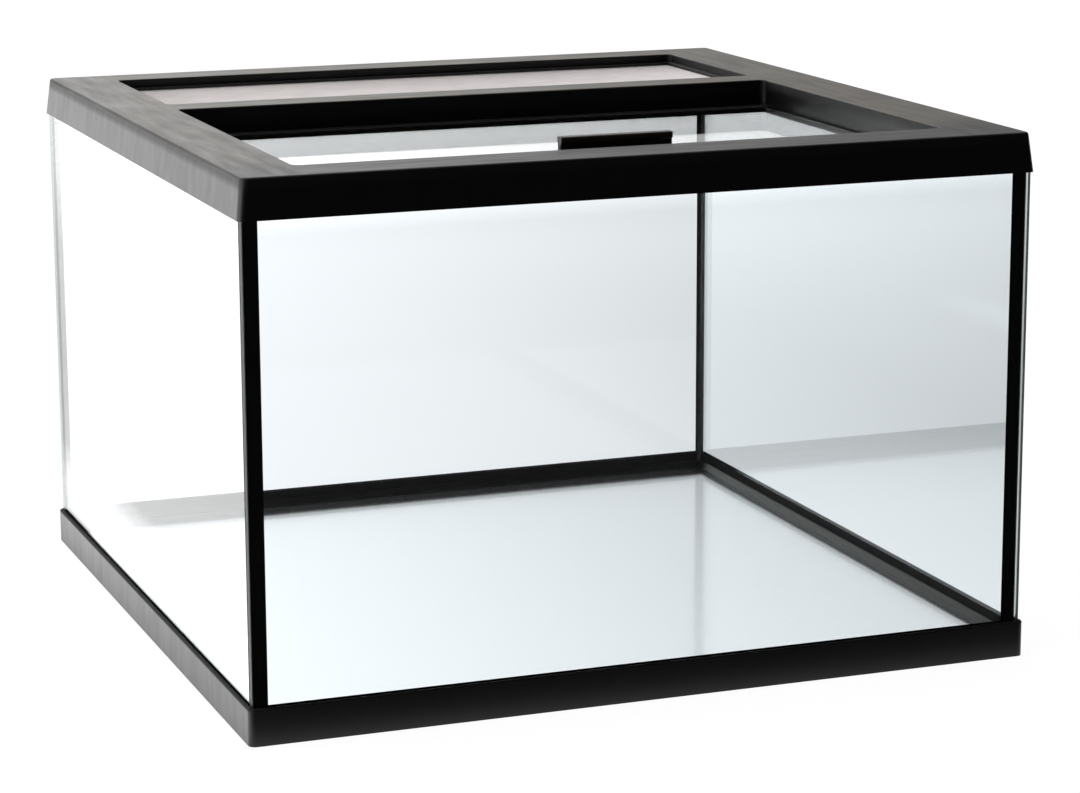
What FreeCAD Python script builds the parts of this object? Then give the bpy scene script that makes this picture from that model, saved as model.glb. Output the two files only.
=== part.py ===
import FreeCAD, Part
import enum
import math
import os
import re
import Sketcher

# Glass terrarium: a five-pane tank bonded between a base frame and a top frame of black plastic.
# The top frame has a crossbar. In front of it a glass lid swings up; behind it lies a wire mesh vent.
# Frame: +X to the right, +Y to the back, +Z up, origin under the middle of the base frame.

SIZES = [
    ("tank_width", 456, "over the base frame, left to right"),
    ("tank_depth", 456, "over the base frame, front to back"),
    ("tank_height", 300, "table to the top of the rim"),
    ("base_height", 20.5, "height of the base frame"),
    ("base_wall", 2, "thickness of the base frame's upright wall"),
    ("base_ledge_width", 7, "ledge that carries the glass, from the wall inwards"),
    ("base_ledge_thickness", 3, "thickness of that ledge"),
    ("base_foot_height", 3, "table to the underside of that ledge"),
    ("base_foot_width", 6, "foot under the ledge, from the outer face inwards"),
    ("base_corner_radius", 4, "upright corners of the base frame"),
    ("base_edge_radius", 1.2, "top edge of the base frame's wall, outside"),
    ("bond_gap", 0.5, "silicone between base frame and glass"),
    ("base_bond_height", 11, "height of that silicone"),
    ("pane_thickness", 5, "front, rear, left and right panes"),
    ("floor_thickness", 5, "floor pane"),
    ("pane_arris", 0.4, "ground edges of the panes"),
    ("joint_gap", 1, "silicone between two panes"),
    ("seam_inset", 1.5, "outer face of a side pane to the silicone of its joint"),
    ("front_seam_leg", 4.5, "inner bead of the front corners"),
    ("rear_seam_leg", 4, "inner bead of the rear corners"),
    ("floor_seam_leg", 4, "inner bead round the floor"),
    ("rim_height", 22, "height of the top frame"),
    ("rim_inset", 3, "base frame's outer face to the top frame's upper edge"),
    ("rim_flare", 2.5, "how much farther out the top frame's lower edge stands"),
    ("groove_depth", 4.5, "groove for the glass in the top frame's underside"),
    ("rim_roof", 2.5, "thickness of the top frame's upper skin"),
    ("rim_wall", 2.2, "thickness of the top frame's other walls"),
    ("rim_corner_radius", 4, "upright corners of the top frame"),
    ("rim_edge_radius", 1.8, "upper outer edge of the top frame"),
    ("mouth_edge_radius", 0.9, "upper edges of the two openings"),
    ("groove_clearance", 0.3, "glass to each side of the top frame's groove"),
    ("groove_rib", 2, "inner wall of that groove"),
    ("top_bond", 0.8, "silicone on top of the glass"),
    ("side_rail_width", 37.5, "left and right rails, seen from above"),
    ("front_rail_width", 34, "front rail"),
    ("rear_rail_width", 28, "rear rail"),
    ("crossbar_depth", 24, "crossbar, front to back"),
    ("lid_opening_depth", 238, "lid opening, front to back"),
    ("opening_corner_radius", 4, "upright corners of both openings"),
    ("lid_ledge_width", 6, "ledge under the lid"),
    ("lid_ledge_thickness", 1.8, "thickness of that ledge"),
    ("lid_seat_gap", 0.2, "lid to its ledge"),
    ("lid_thickness", 4, "glass of the lid"),
    ("lid_side_gap", 2, "lid to the left and right walls"),
    ("lid_front_gap", 1.5, "lid to the front wall"),
    ("lid_corner_radius", 8, "corners of the lid"),
    ("lid_arris", 0.5, "ground edges of the lid"),
    ("hinge_setback", 5, "crossbar's front face to the hinge axis"),
    ("lid_axis_gap", 4.2, "hinge axis to the lid's rear edge"),
    ("strip_grip", 8.2, "how far the hinge strip laps the lid"),
    ("strip_flange", 1, "thickness of the hinge strip's flanges"),
    ("strip_bond", 0.3, "silicone between hinge strip and lid"),
    ("strip_end_gap", 0.7, "hinge strip to the hinge ears"),
    ("pin_radius", 1.3, "hinge pins"),
    ("pin_clearance", 0.05, "hinge pin to the bore of its ear"),
    ("pin_grip", 10, "length of a hinge pin in the strip"),
    ("handle_length", 65, "handle, left to right"),
    ("handle_setback", 18.5, "lid's front edge to the middle of the handle"),
    ("handle_rise", 4, "top of the handle above the rim"),
    ("handle_foot_depth", 22, "foot of the handle, front to back"),
    ("handle_foot_thickness", 2.2, "thickness of the foot"),
    ("handle_web", 4, "upright web of the handle"),
    ("handle_grip_depth", 6.4, "grip bar on top, front to back"),
    ("handle_grip_height", 3.4, "height of the grip bar"),
    ("handle_corner_radius", 3, "corners of the foot"),
    ("handle_round", 1, "long edges of the grip bar"),
    ("handle_root_radius", 1, "web to foot and web to grip bar"),
    ("handle_pad_thickness", 0.5, "adhesive pad under the foot"),
    ("handle_pad_margin", 1, "edge of the foot to the pad"),
    ("vent_ledge_width", 5, "ledge under the mesh"),
    ("vent_ledge_thickness", 2, "thickness of that ledge"),
    ("mesh_thickness", 1, "wire mesh"),
    ("mesh_border_width", 5, "plain border of the mesh"),
    ("mesh_bar_width", 3, "bars of the mesh"),
    ("mesh_gap", 0.5, "mesh to the walls of its recess"),
    ("retainer_thickness", 1.5, "ring that holds the mesh down"),
    ("retainer_width", 4.5, "width of that ring"),
    ("retainer_gap", 0.3, "ring to the walls of its recess"),
    ("retainer_depth", 5, "top of the rim to the ring"),
    ("overrun", 4, "how far a cut runs past the face it opens"),
]

# A share of the tank's width: two places nearer than this are the same place.
SAME_PLACE_SHARE = 1e-6
# How much of the floor bead's leg its bevel takes off.
BEAD_BEVEL_SHARE = 0.85
# The fine weave is drawn as a coarse grid, with its openings in columns from left to right and in rows.
MESH_COLUMN_COUNT = 12
MESH_ROW_COUNT = 4

FRONT, BACK, LEFT, RIGHT = "front", "rear", "left", "right"
SIGN = {FRONT: "-", BACK: "", LEFT: "-", RIGHT: ""}


class Point(enum.IntEnum):
    """Which point of a line or circle a sketch's constraint holds, in the sketch's own numbering."""
    START = enum.auto()
    END = enum.auto()
    CENTRE = enum.auto()


document = FreeCAD.newDocument("Terrarium")
sheet = document.addObject("Spreadsheet::Sheet", "Sizes")
for row, (alias, size, meaning) in enumerate(SIZES, 1):
    sheet.set(f"A{row}", meaning)
    sheet.set(f"B{row}", str(size))
    sheet.setAlias(f"B{row}", alias)
document.recompute()

# Places worked out from the sizes. X and Y places are half widths, measured from the middle.
GLASS_X = "(tank_width / 2 - base_wall - bond_gap)"
GLASS_Y = "(tank_depth / 2 - base_wall - bond_gap)"
INSIDE_X = f"({GLASS_X} - pane_thickness)"
INSIDE_Y = f"({GLASS_Y} - pane_thickness)"
RIM_X = "(tank_width / 2 - rim_inset)"
RIM_Y = "(tank_depth / 2 - rim_inset)"
OPENING_X = f"({RIM_X} - side_rail_width)"
OPENING_FRONT = f"(front_rail_width - {RIM_Y})"
BAR_FRONT = f"({OPENING_FRONT} + lid_opening_depth)"
BAR_REAR = f"({BAR_FRONT} + crossbar_depth)"
OPENING_REAR = f"({RIM_Y} - rear_rail_width)"

RIM_BOTTOM = "(tank_height - rim_height)"
GROOVE_TOP = f"({RIM_BOTTOM} + groove_depth)"
HOLLOW_TOP = "(tank_height - rim_roof)"
GLASS_BOTTOM = "(base_foot_height + base_ledge_thickness)"
GLASS_TOP = f"({GROOVE_TOP} - top_bond)"
FLOOR_TOP = f"({GLASS_BOTTOM} + floor_thickness)"
FLOOR_BEAD_TOP = f"({FLOOR_TOP} + floor_seam_leg)"
LEDGE_TOP = f"({RIM_BOTTOM} + lid_ledge_thickness)"
LID_BOTTOM = f"({LEDGE_TOP} + lid_seat_gap)"
LID_TOP = f"({LID_BOTTOM} + lid_thickness)"
MESH_TOP = "(tank_height - retainer_depth - retainer_thickness)"
VENT_LEDGE_TOP = f"({MESH_TOP} - mesh_thickness)"
VENT_LEDGE_BOTTOM = f"({VENT_LEDGE_TOP} - vent_ledge_thickness)"

LID_X = f"({OPENING_X} - lid_side_gap)"
LID_FRONT = f"({OPENING_FRONT} + lid_front_gap)"
AXIS_Y = f"({BAR_FRONT} - hinge_setback)"
AXIS_Z = f"({LID_BOTTOM} + lid_thickness / 2)"
LID_REAR = f"({AXIS_Y} - lid_axis_gap)"
BARREL_RADIUS = "(lid_thickness / 2 + strip_bond + strip_flange)"
EAR_X = f"({OPENING_X} - lid_ledge_width)"
STRIP_X = f"({EAR_X} - strip_end_gap)"
STRIP_FRONT = f"({LID_REAR} - strip_grip)"


def formula(words):
    """The formula with each size written as a cell of the sheet."""
    return re.sub(r"\b([a-z_]+)\b", r"Sizes.\1", words)


def number(words):
    """What a formula comes to."""
    return float(sheet.evalExpression(formula(words)))


def bind(item, size, words):
    """Tie one property of an object to a formula."""
    item.setExpression(size, formula(words))


def same(first, second):
    """Whether two places are the same place."""
    return abs(first - second) < number("tank_width") * SAME_PLACE_SHARE


def new_body(label):
    """An empty body that carries the name of its sub-part."""
    body = document.addObject("PartDesign::Body", label)
    body.Label = label
    return body


def new_sketch(body, name, role, offset):
    """A sketch on one of the body's origin planes, moved along the plane's normal."""
    sketch = body.newObject("Sketcher::SketchObject", f"{body.Name}_{name}_sketch")
    plane = [feature for feature in body.Origin.OriginFeatures if feature.Role == role][0]
    sketch.AttachmentSupport = [(plane, "")]
    sketch.MapMode = "FlatFace"
    bind(sketch, "AttachmentOffset.Base.z", offset)
    return sketch


def hold(sketch, kind, *where):
    """Hold one point or radius of a sketch at a formula's value."""
    words = where[-1]
    index = sketch.addConstraint(Sketcher.Constraint(kind, *where[:-1], number(words)))
    bind(sketch, f"Constraints[{index}]", words)


def hold_point(sketch, line, point, across, up):
    """Hold a point of a sketch at two formulas, measured from the sketch's origin."""
    hold(sketch, "DistanceX", line, point, across)
    hold(sketch, "DistanceY", line, point, up)


def join(sketch, line, point, other_line, other_point):
    """Join two points of a sketch."""
    sketch.addConstraint(Sketcher.Constraint("Coincident", line, point, other_line, other_point))


def add_outline(sketch, points):
    """A closed outline of straight sides through points that are given as formulas."""
    first = sketch.GeometryCount
    places = [FreeCAD.Vector(number(across), number(up), 0) for across, up in points]
    for start, end in zip(places, places[1:] + places[:1]):
        sketch.addGeometry(Part.LineSegment(start, end))
    for side in range(len(points)):
        following = first + (side + 1) % len(points)
        join(sketch, first + side, Point.END, following, Point.START)
    for side, (across, up) in enumerate(points):
        hold_point(sketch, first + side, Point.START, across, up)


def add_rectangle(sketch, left, right, front, rear):
    """A rectangle between four formulas."""
    add_outline(sketch, [(left, front), (right, front), (right, rear), (left, rear)])


def add_circle(sketch, across, up, radius):
    """A circle round a point that is given as formulas."""
    centre = FreeCAD.Vector(number(across), number(up), 0)
    circle = sketch.addGeometry(Part.Circle(centre, FreeCAD.Vector(0, 0, 1), number(radius)))
    hold_point(sketch, circle, Point.CENTRE, across, up)
    hold(sketch, "Radius", circle, radius)


def around(half_x, half_y):
    """The four sides of a rectangle round the middle of the tank."""
    return (f"-{half_x}", half_x, f"-{half_y}", half_y)


def pad(body, name, role, start, end, draw):
    """Material between two places along the plane's normal."""
    sketch = new_sketch(body, name, role, start)
    draw(sketch)
    feature = body.newObject("PartDesign::Pad", f"{body.Name}_{name}")
    feature.Profile = sketch
    bind(feature, "Length", f"{end} - {start}")
    return feature


def pocket(body, name, role, start, end, draw):
    """A cut from the place farther along the plane's normal back to the nearer one."""
    document.recompute()
    before = body.Shape.Volume
    sketch = new_sketch(body, name, role, end)
    draw(sketch)
    feature = body.newObject("PartDesign::Pocket", f"{body.Name}_{name}")
    feature.Profile = sketch
    bind(feature, "Length", f"{end} - {start}")
    document.recompute()
    if not body.Shape.Volume < before:
        raise ValueError(f"{feature.Name} cuts nothing")
    return feature


def rectangles(*sides):
    """A drawing of one or more rectangles."""
    def draw(sketch):
        for four in sides:
            add_rectangle(sketch, *four)
    return draw


def block(body, name, bottom, top, *sides):
    """An upright pad of rectangles."""
    return pad(body, name, "XY_Plane", bottom, top, rectangles(*sides))


def recess(body, name, bottom, top, *sides):
    """An upright cut of rectangles."""
    return pocket(body, name, "XY_Plane", bottom, top, rectangles(*sides))


def dress(body, kind, name, size, words, wanted):
    """Fillet or chamfer each edge of the body that the test picks."""
    document.recompute()
    feature = body.Tip
    names = [f"Edge{count}" for count, edge in enumerate(feature.Shape.Edges, 1) if wanted(edge)]
    if not names:
        raise ValueError(f"{name} of {body.Label} finds no edge")
    dressed = body.newObject(f"PartDesign::{kind}", f"{body.Name}_{name}")
    dressed.Base = (feature, names)
    bind(dressed, size, words)
    document.recompute()
    if "Invalid" in dressed.State or "Error" in dressed.State:
        raise ValueError(f"{dressed.Name} did not build on {len(names)} edges")
    return dressed


def fillet(body, name, radius, wanted):
    """Round the picked edges."""
    return dress(body, "Fillet", name, "Radius", radius, wanted)


def chamfer(body, name, size, wanted):
    """Bevel the picked edges."""
    return dress(body, "Chamfer", name, "Size", size, wanted)


def ends(edge):
    """First and last point of an edge."""
    return edge.Vertexes[0].Point, edge.Vertexes[-1].Point


def upright_at(half_x, *places_y):
    """Test for upright edges at plus and minus one X place and at given Y places."""
    def wanted(edge):
        low, high = ends(edge)
        upright = same(low.x, high.x) and same(low.y, high.y) and not same(low.z, high.z)
        at_x = same(abs(low.x), number(half_x))
        return upright and at_x and any(same(low.y, number(place)) for place in places_y)
    return wanted


def leaning_at(low_x, low_y, high_x, high_y):
    """Test for corner edges that lean from one half width and half depth to another."""
    def wanted(edge):
        low, high = sorted(ends(edge), key=lambda point: point.z)
        places = ((low.x, low_x), (low.y, low_y), (high.x, high_x), (high.y, high_y))
        return all(same(abs(place), number(words)) for place, words in places)
    return wanted


def level_at(height, half_x, front, rear):
    """Test for the level edges that lie along a rectangle, its rounded corners included."""
    def wanted(edge):
        box = edge.BoundBox
        level = same(box.ZMin, number(height)) and same(box.ZMax, number(height))
        sides = ((box.XMin, -number(half_x)), (-box.XMax, -number(half_x)),
                 (box.YMin, number(front)), (-box.YMax, -number(rear)))
        within = all(place > side or same(place, side) for place, side in sides)
        return level and within and any(same(place, side) for place, side in sides)
    return wanted


def every_edge(edge):
    """Test that picks each edge."""
    return edge.Length > 0


def make_base_frame():
    """Moulded frame under the tank: an upright wall, a foot, and a ledge that carries the glass."""
    body = new_body("base_frame")
    outer_x = "(tank_width / 2)"
    outer_y = "(tank_depth / 2)"
    wall_x = "(tank_width / 2 - base_wall)"
    wall_y = "(tank_depth / 2 - base_wall)"
    block(body, "block", "0", "base_height", around(outer_x, outer_y))
    recess(body, "tank_recess", GLASS_BOTTOM, "base_height", around(wall_x, wall_y))
    recess(body, "open_middle", "base_foot_height", GLASS_BOTTOM,
           around(f"({wall_x} - base_ledge_width)", f"({wall_y} - base_ledge_width)"))
    recess(body, "under_ledge", "-overrun", "base_foot_height",
           around(f"({outer_x} - base_foot_width)", f"({outer_y} - base_foot_width)"))
    fillet(body, "corners", "base_corner_radius", upright_at(outer_x, f"-{outer_y}", outer_y))
    fillet(body, "top_edge", "base_edge_radius",
           level_at("base_height", outer_x, f"-{outer_y}", outer_y))
    return body


def make_pane(label, left, right, front, rear, bottom, top):
    """One pane with ground edges."""
    body = new_body(label)
    block(body, "glass", bottom, top, (left, right, front, rear))
    chamfer(body, "arris", "pane_arris", every_edge)
    return body


def make_panes():
    """Front and rear panes across the full width, side panes between them, floor pane inside."""
    side_y = f"({INSIDE_Y} - joint_gap)"
    floor_x = f"({INSIDE_X} - joint_gap)"
    upright = (GLASS_BOTTOM, GLASS_TOP)
    return [
        make_pane("front_glass", f"-{GLASS_X}", GLASS_X, f"-{GLASS_Y}", f"-{INSIDE_Y}", *upright),
        make_pane("rear_glass", f"-{GLASS_X}", GLASS_X, INSIDE_Y, GLASS_Y, *upright),
        make_pane("left_glass", f"-{GLASS_X}", f"-{INSIDE_X}", f"-{side_y}", side_y, *upright),
        make_pane("right_glass", INSIDE_X, GLASS_X, f"-{side_y}", side_y, *upright),
        make_pane("floor_glass", *around(floor_x, side_y), GLASS_BOTTOM, FLOOR_TOP),
    ]


def draw_bead(side, end, leg):
    """A drawing of the inner bead of a corner: two legs on the glass and a hollow face between."""
    across, along = SIGN[side], SIGN[end]
    corner = (f"{across}{INSIDE_X}", f"{along}{INSIDE_Y}")
    on_end_pane = (f"{across}({INSIDE_X} - {leg})", corner[1])
    on_side_pane = (corner[0], f"{along}({INSIDE_Y} - {leg})")

    def draw(sketch):
        points = [FreeCAD.Vector(number(x), number(y), 0)
                  for x, y in (on_side_pane, corner, on_end_pane)]
        side_leg = sketch.addGeometry(Part.LineSegment(points[0], points[1]))
        end_leg = sketch.addGeometry(Part.LineSegment(points[1], points[2]))
        centre = FreeCAD.Vector(points[2].x, points[0].y, 0)
        turns = [math.atan2(point.y - centre.y, point.x - centre.x) for point in points]
        quarter = math.pi / 2
        to_side_pane = abs((turns[0] - turns[2]) % (2 * math.pi) - quarter) < quarter / 2
        begin = turns[2] if to_side_pane else turns[0]
        circle = Part.Circle(centre, FreeCAD.Vector(0, 0, 1), number(leg))
        face = sketch.addGeometry(Part.ArcOfCircle(circle, begin, begin + quarter))
        end_pane_tip, side_pane_tip = Point.START, Point.END
        if not to_side_pane:
            end_pane_tip, side_pane_tip = side_pane_tip, end_pane_tip
        join(sketch, side_leg, Point.END, end_leg, Point.START)
        join(sketch, end_leg, Point.END, face, end_pane_tip)
        join(sketch, face, side_pane_tip, side_leg, Point.START)
        hold_point(sketch, side_leg, Point.START, *on_side_pane)
        hold_point(sketch, end_leg, Point.START, *corner)
        hold_point(sketch, end_leg, Point.END, *on_end_pane)
        hold(sketch, "Radius", face, leg)
    return draw


def make_corner_seam(side, end):
    """Silicone of one upright corner: the joint between two panes and the bead inside it."""
    body = new_body(f"{end}_{side}_seam")
    across, along = SIGN[side], SIGN[end]
    leg = "front_seam_leg" if end == FRONT else "rear_seam_leg"
    joint_x = sorted([f"{across}({GLASS_X} - seam_inset)", f"{across}{INSIDE_X}"], key=number)
    joint_y = sorted([f"{along}{INSIDE_Y}", f"{along}({INSIDE_Y} - joint_gap)"], key=number)
    block(body, "joint", GLASS_BOTTOM, GLASS_TOP, (*joint_x, *joint_y))
    pad(body, "bead", "XY_Plane", FLOOR_BEAD_TOP, RIM_BOTTOM, draw_bead(side, end, leg))
    return body


def make_floor_seam():
    """Silicone round the floor pane: the joint to the walls and a bevelled bead on top of it."""
    body = new_body("floor_seam")
    walls = around(INSIDE_X, INSIDE_Y)
    inner_x = f"({INSIDE_X} - floor_seam_leg)"
    inner_y = f"({INSIDE_Y} - floor_seam_leg)"
    block(body, "bead", FLOOR_TOP, FLOOR_BEAD_TOP, walls, around(inner_x, inner_y))
    chamfer(body, "bevel", f"floor_seam_leg * {BEAD_BEVEL_SHARE}",
            level_at(FLOOR_BEAD_TOP, inner_x, f"-{inner_y}", inner_y))
    block(body, "joint", GLASS_BOTTOM, FLOOR_TOP, walls,
          around(f"({INSIDE_X} - joint_gap)", f"({INSIDE_Y} - joint_gap)"))
    return body


def make_bonds():
    """Silicone between the glass and the two frames."""
    base = new_body("base_bond")
    block(base, "ring", GLASS_BOTTOM, f"({GLASS_BOTTOM} + base_bond_height)",
          around(f"({GLASS_X} + bond_gap)", f"({GLASS_Y} + bond_gap)"), around(GLASS_X, GLASS_Y))
    top = new_body("top_bond")
    block(top, "ring", GLASS_TOP, GROOVE_TOP,
          around(f"({GLASS_X} + groove_clearance)", f"({GLASS_Y} + groove_clearance)"),
          around(f"({INSIDE_X} - groove_clearance)", f"({INSIDE_Y} - groove_clearance)"))
    return [base, top]


def lean(body, name, role, low, high, reach):
    """Cut two opposite outer walls of the rim so that they lean inwards to its upper edge."""
    above = "(tank_height + overrun)"
    beyond = f"({low} + overrun)"

    def draw(sketch):
        for sign in ("", "-"):
            add_outline(sketch, [(f"{sign}{low}", RIM_BOTTOM), (f"{sign}{beyond}", RIM_BOTTOM),
                                 (f"{sign}{beyond}", above), (f"{sign}{high}", above),
                                 (f"{sign}{high}", "tank_height")])
    pocket(body, name, role, f"-({reach} + overrun)", f"({reach} + overrun)", draw)


def add_hinge_ear(body, name, start, end, bore_start, bore_end):
    """A round ear in the corner of the lid opening, and the bore for its hinge pin."""
    pad(body, f"{name}_ear", "YZ_Plane", start, end,
        lambda sketch: add_circle(sketch, AXIS_Y, AXIS_Z, BARREL_RADIUS))
    pocket(body, f"{name}_bore", "YZ_Plane", bore_start, bore_end,
           lambda sketch: add_circle(sketch, AXIS_Y, AXIS_Z, "(pin_radius + pin_clearance)"))


def make_top_frame():
    """Moulded rim with a crossbar: leaning outer walls, hollow rails, a groove for the glass and
    two ledges."""
    body = new_body("top_frame")
    low_x = f"({RIM_X} + rim_flare)"
    low_y = f"({RIM_Y} + rim_flare)"
    below = f"({RIM_BOTTOM} - overrun)"
    block(body, "rim", RIM_BOTTOM, "tank_height", around(low_x, low_y))
    lean(body, "side_walls", "XZ_Plane", low_x, RIM_X, low_y)
    lean(body, "end_walls", "YZ_Plane", low_y, RIM_Y, low_x)

    lid_walls = (f"-{OPENING_X}", OPENING_X, OPENING_FRONT, BAR_FRONT)
    vent_walls = (f"-{OPENING_X}", OPENING_X, BAR_REAR, OPENING_REAR)
    recess(body, "lid_opening", LEDGE_TOP, "tank_height", lid_walls)
    recess(body, "vent_opening", VENT_LEDGE_TOP, "tank_height", vent_walls)
    fillet(body, "opening_corners", "opening_corner_radius",
           upright_at(OPENING_X, OPENING_FRONT, BAR_FRONT, BAR_REAR, OPENING_REAR))
    fillet(body, "rim_corners", "rim_corner_radius", leaning_at(low_x, low_y, RIM_X, RIM_Y))
    fillet(body, "rim_edge", "rim_edge_radius",
           level_at("tank_height", RIM_X, f"-{RIM_Y}", RIM_Y))
    fillet(body, "lid_mouth_edge", "mouth_edge_radius",
           level_at("tank_height", OPENING_X, OPENING_FRONT, BAR_FRONT))
    fillet(body, "vent_mouth_edge", "mouth_edge_radius",
           level_at("tank_height", OPENING_X, BAR_REAR, OPENING_REAR))

    mouth_front = f"({OPENING_FRONT} + lid_ledge_width)"
    recess(body, "lid_mouth", below, LEDGE_TOP, (f"-{EAR_X}", EAR_X, mouth_front, BAR_FRONT))
    mouth_x = f"({OPENING_X} - vent_ledge_width)"
    recess(body, "vent_mouth", below, VENT_LEDGE_TOP,
           (f"-{mouth_x}", mouth_x, f"({BAR_REAR} + vent_ledge_width)",
            f"({OPENING_REAR} - vent_ledge_width)"))
    recess(body, "vent_undercut", below, VENT_LEDGE_BOTTOM, vent_walls)

    groove_x = f"({INSIDE_X} - groove_clearance)"
    groove_y = f"({INSIDE_Y} - groove_clearance)"
    wall_x = f"({OPENING_X} + rim_wall)"
    recess(body, "hollow", below, HOLLOW_TOP,
           around(f"({groove_x} - groove_rib)", f"({groove_y} - groove_rib)"),
           (f"-{wall_x}", wall_x, f"({OPENING_FRONT} - rim_wall)", f"({BAR_FRONT} + rim_wall)"),
           (f"-{wall_x}", wall_x, f"({BAR_REAR} - rim_wall)", f"({OPENING_REAR} + rim_wall)"))
    recess(body, "glass_groove", below, GROOVE_TOP,
           around(f"({GLASS_X} + groove_clearance)", f"({GLASS_Y} + groove_clearance)"),
           around(groove_x, groove_y))
    recess(body, "wall_core", GROOVE_TOP, HOLLOW_TOP,
           around(f"({RIM_X} - rim_wall)", f"({RIM_Y} - rim_wall)"), around(groove_x, groove_y))

    add_hinge_ear(body, "right", EAR_X, OPENING_X, EAR_X, wall_x)
    add_hinge_ear(body, "left", f"-{OPENING_X}", f"-{EAR_X}", f"-{wall_x}", f"-{EAR_X}")
    return body


def make_lid():
    """Glass lid, the hinge strip that grips its rear edge, and the silicone between them."""
    glass = new_body("lid_glass")
    block(glass, "glass", LID_BOTTOM, LID_TOP, (f"-{LID_X}", LID_X, LID_FRONT, LID_REAR))
    fillet(glass, "corners", "lid_corner_radius", upright_at(LID_X, LID_FRONT, LID_REAR))
    chamfer(glass, "arris", "lid_arris", lambda edge: same(edge.BoundBox.ZLength, 0))

    slot_end = f"({LID_REAR} + strip_bond)"
    slot = [f"({LID_BOTTOM} - strip_bond)", f"({LID_TOP} + strip_bond)"]
    outside = [f"({AXIS_Z} - {BARREL_RADIUS})", f"({AXIS_Z} + {BARREL_RADIUS})"]
    strip = new_body("hinge_strip")
    profile = [(STRIP_FRONT, outside[0]), (AXIS_Y, outside[0]), (AXIS_Y, outside[1]),
               (STRIP_FRONT, outside[1]), (STRIP_FRONT, slot[1]), (slot_end, slot[1]),
               (slot_end, slot[0]), (STRIP_FRONT, slot[0])]
    pad(strip, "channel", "YZ_Plane", f"-{STRIP_X}", STRIP_X,
        lambda sketch: add_outline(sketch, profile))
    pad(strip, "barrel", "YZ_Plane", f"-{STRIP_X}", STRIP_X,
        lambda sketch: add_circle(sketch, AXIS_Y, AXIS_Z, BARREL_RADIUS))
    for name, start, end in (("right", f"({STRIP_X} - pin_grip)", STRIP_X),
                             ("left", f"-{STRIP_X}", f"(pin_grip - {STRIP_X})")):
        pocket(strip, f"{name}_bore", "YZ_Plane", start, end,
               lambda sketch: add_circle(sketch, AXIS_Y, AXIS_Z, "pin_radius"))

    bond = new_body("strip_bond_film")
    film = [(STRIP_FRONT, slot[0]), (slot_end, slot[0]), (slot_end, slot[1]),
            (STRIP_FRONT, slot[1]), (STRIP_FRONT, LID_TOP), (LID_REAR, LID_TOP),
            (LID_REAR, LID_BOTTOM), (STRIP_FRONT, LID_BOTTOM)]
    pad(bond, "film", "YZ_Plane", f"-{STRIP_X}", STRIP_X, lambda sketch: add_outline(sketch, film))
    return [glass, strip, bond]


def make_hinge_pin(side):
    """Steel pin pressed into one end of the hinge strip, turning in the ear beside it."""
    pin = document.addObject("Part::Cylinder", f"{side}_hinge_pin")
    pin.Label = f"{side}_hinge_pin"
    bind(pin, "Radius", "pin_radius")
    inner = f"({STRIP_X} - pin_grip)"
    outer = f"({OPENING_X} + rim_wall)"
    bind(pin, "Height", f"{outer} - {inner}")
    pin.Placement = FreeCAD.Placement(FreeCAD.Vector(), FreeCAD.Rotation(FreeCAD.Vector(0, 1, 0), 90))
    bind(pin, "Placement.Base.x", inner if side == RIGHT else f"-{outer}")
    bind(pin, "Placement.Base.y", AXIS_Y)
    bind(pin, "Placement.Base.z", AXIS_Z)
    return pin


def make_handle():
    """Pull handle on the lid: a foot, a web and a grip bar, stuck down on an adhesive pad."""
    middle = f"({LID_FRONT} + handle_setback)"
    foot_bottom = f"({LID_TOP} + handle_pad_thickness)"
    foot_top = f"({foot_bottom} + handle_foot_thickness)"
    grip_top = "(tank_height + handle_rise)"
    grip_bottom = f"({grip_top} - handle_grip_height)"
    foot = [f"({middle} - handle_foot_depth / 2)", f"({middle} + handle_foot_depth / 2)"]
    web = [f"({middle} - handle_web / 2)", f"({middle} + handle_web / 2)"]
    grip = [f"({middle} - handle_grip_depth / 2)", f"({middle} + handle_grip_depth / 2)"]
    profile = [(foot[0], foot_bottom), (foot[1], foot_bottom), (foot[1], foot_top),
               (web[1], foot_top), (web[1], grip_bottom), (grip[1], grip_bottom),
               (grip[1], grip_top), (grip[0], grip_top), (grip[0], grip_bottom),
               (web[0], grip_bottom), (web[0], foot_top), (foot[0], foot_top)]
    handle = new_body("lid_handle")
    half = "(handle_length / 2)"
    pad(handle, "profile", "YZ_Plane", f"-{half}", half,
        lambda sketch: add_outline(sketch, profile))

    def long_edge_at(places, heights):
        def wanted(edge):
            low, high = ends(edge)
            lengthwise = same(low.y, high.y) and same(low.z, high.z)
            at_place = any(same(low.y, number(place)) for place in places)
            return lengthwise and at_place and any(same(low.z, number(up)) for up in heights)
        return wanted

    fillet(handle, "roots", "handle_root_radius", long_edge_at(web, (foot_top, grip_bottom)))
    fillet(handle, "grip_edges", "handle_round", long_edge_at(grip, (grip_top, grip_bottom)))
    fillet(handle, "foot_corners", "handle_corner_radius", upright_at(half, *foot))

    sticker = new_body("handle_pad")
    pad_x = f"({half} - handle_pad_margin)"
    block(sticker, "pad", LID_TOP, foot_bottom,
          (f"-{pad_x}", pad_x, f"({foot[0]} + handle_pad_margin)", f"({foot[1]} - handle_pad_margin)"))
    fillet(sticker, "corners", "(handle_corner_radius - handle_pad_margin)",
           upright_at(pad_x, f"({foot[0]} + handle_pad_margin)", f"({foot[1]} - handle_pad_margin)"))
    return [handle, sticker]


def bars_between(low, high, openings):
    """First and last place of each bar that divides a span into equal openings."""
    pitch = f"(({high} - {low} + mesh_bar_width) / {openings})"
    return [(f"({low} + {count} * {pitch} - mesh_bar_width)", f"({low} + {count} * {pitch})")
            for count in range(1, openings)]


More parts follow.
